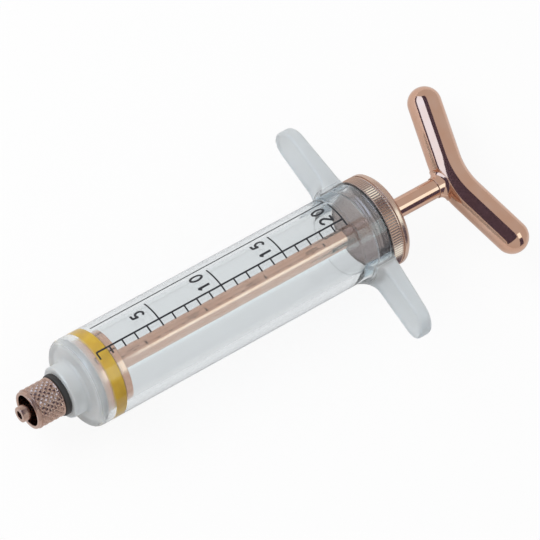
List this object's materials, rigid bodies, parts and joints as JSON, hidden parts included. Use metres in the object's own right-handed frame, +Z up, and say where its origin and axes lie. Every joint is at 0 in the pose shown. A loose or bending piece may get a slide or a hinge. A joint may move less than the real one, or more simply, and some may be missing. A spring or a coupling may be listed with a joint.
{
  "type": "syringe",
  "caption": "Reusable dosing syringe with a clear graduated barrel and finger wings, metal luer lock head, sealed piston, bent pull handle and knurled cap.",
  "frame": {"origin": "middle of the luer tip's front face, on the syringe's axis", "axes": "+X along the axis from the luer tip to the handle, +Z up with the syringe lying on a table, +Y to the side whose wing touches the table"},
  "size_m": [0.1395, 0.0604, 0.0244],
  "materials": {
    "clear_plastic": "clear, moulded, glossy",
    "plated_metal": "polished plating with a rosy tone",
    "black_rubber": "matt",
    "yellow_rubber": "satin"
  },
  "bodies": {
    "barrel": {"barrel": "clear_plastic"},
    "head_washer": {"head_washer": "black_rubber"},
    "luer_head": {"luer_head": "plated_metal"},
    "piston_seal": {"piston_seal": "yellow_rubber"},
    "plunger": {"piston_front": "plated_metal", "piston_rear": "plated_metal", "plunger_rod": "plated_metal", "handle": "plated_metal"},
    "cap": {"cap": "plated_metal"}
  },
  "joints": [
    {"name": "head_advance", "type": "slide", "parent": "barrel", "child": "head_washer", "axis": [-1, 0, 0], "range_m": [0, 0.0045]},
    {"name": "head_turn", "type": "hinge", "parent": "head_washer", "child": "luer_head", "pos_m": [0, 0, 0], "axis": [-1, 0, 0], "range_deg": [0, 1621]},
    {"name": "plunger_slide", "type": "slide", "parent": "barrel", "child": "piston_seal", "axis": [1, 0, 0], "range_m": [0, 0.0731]},
    {"name": "plunger_turn", "type": "hinge", "parent": "piston_seal", "child": "plunger", "pos_m": [0, 0, 0], "axis": [1, 0, 0], "continuous": true},
    {"name": "cap_slide", "type": "slide", "parent": "barrel", "child": "cap", "axis": [1, 0, 0], "range_m": [0, 0.016]}
  ],
  "couplings": [
    {"joint": "head_turn", "follows": "head_advance", "rad_per_m": 6283.2}
  ]
}
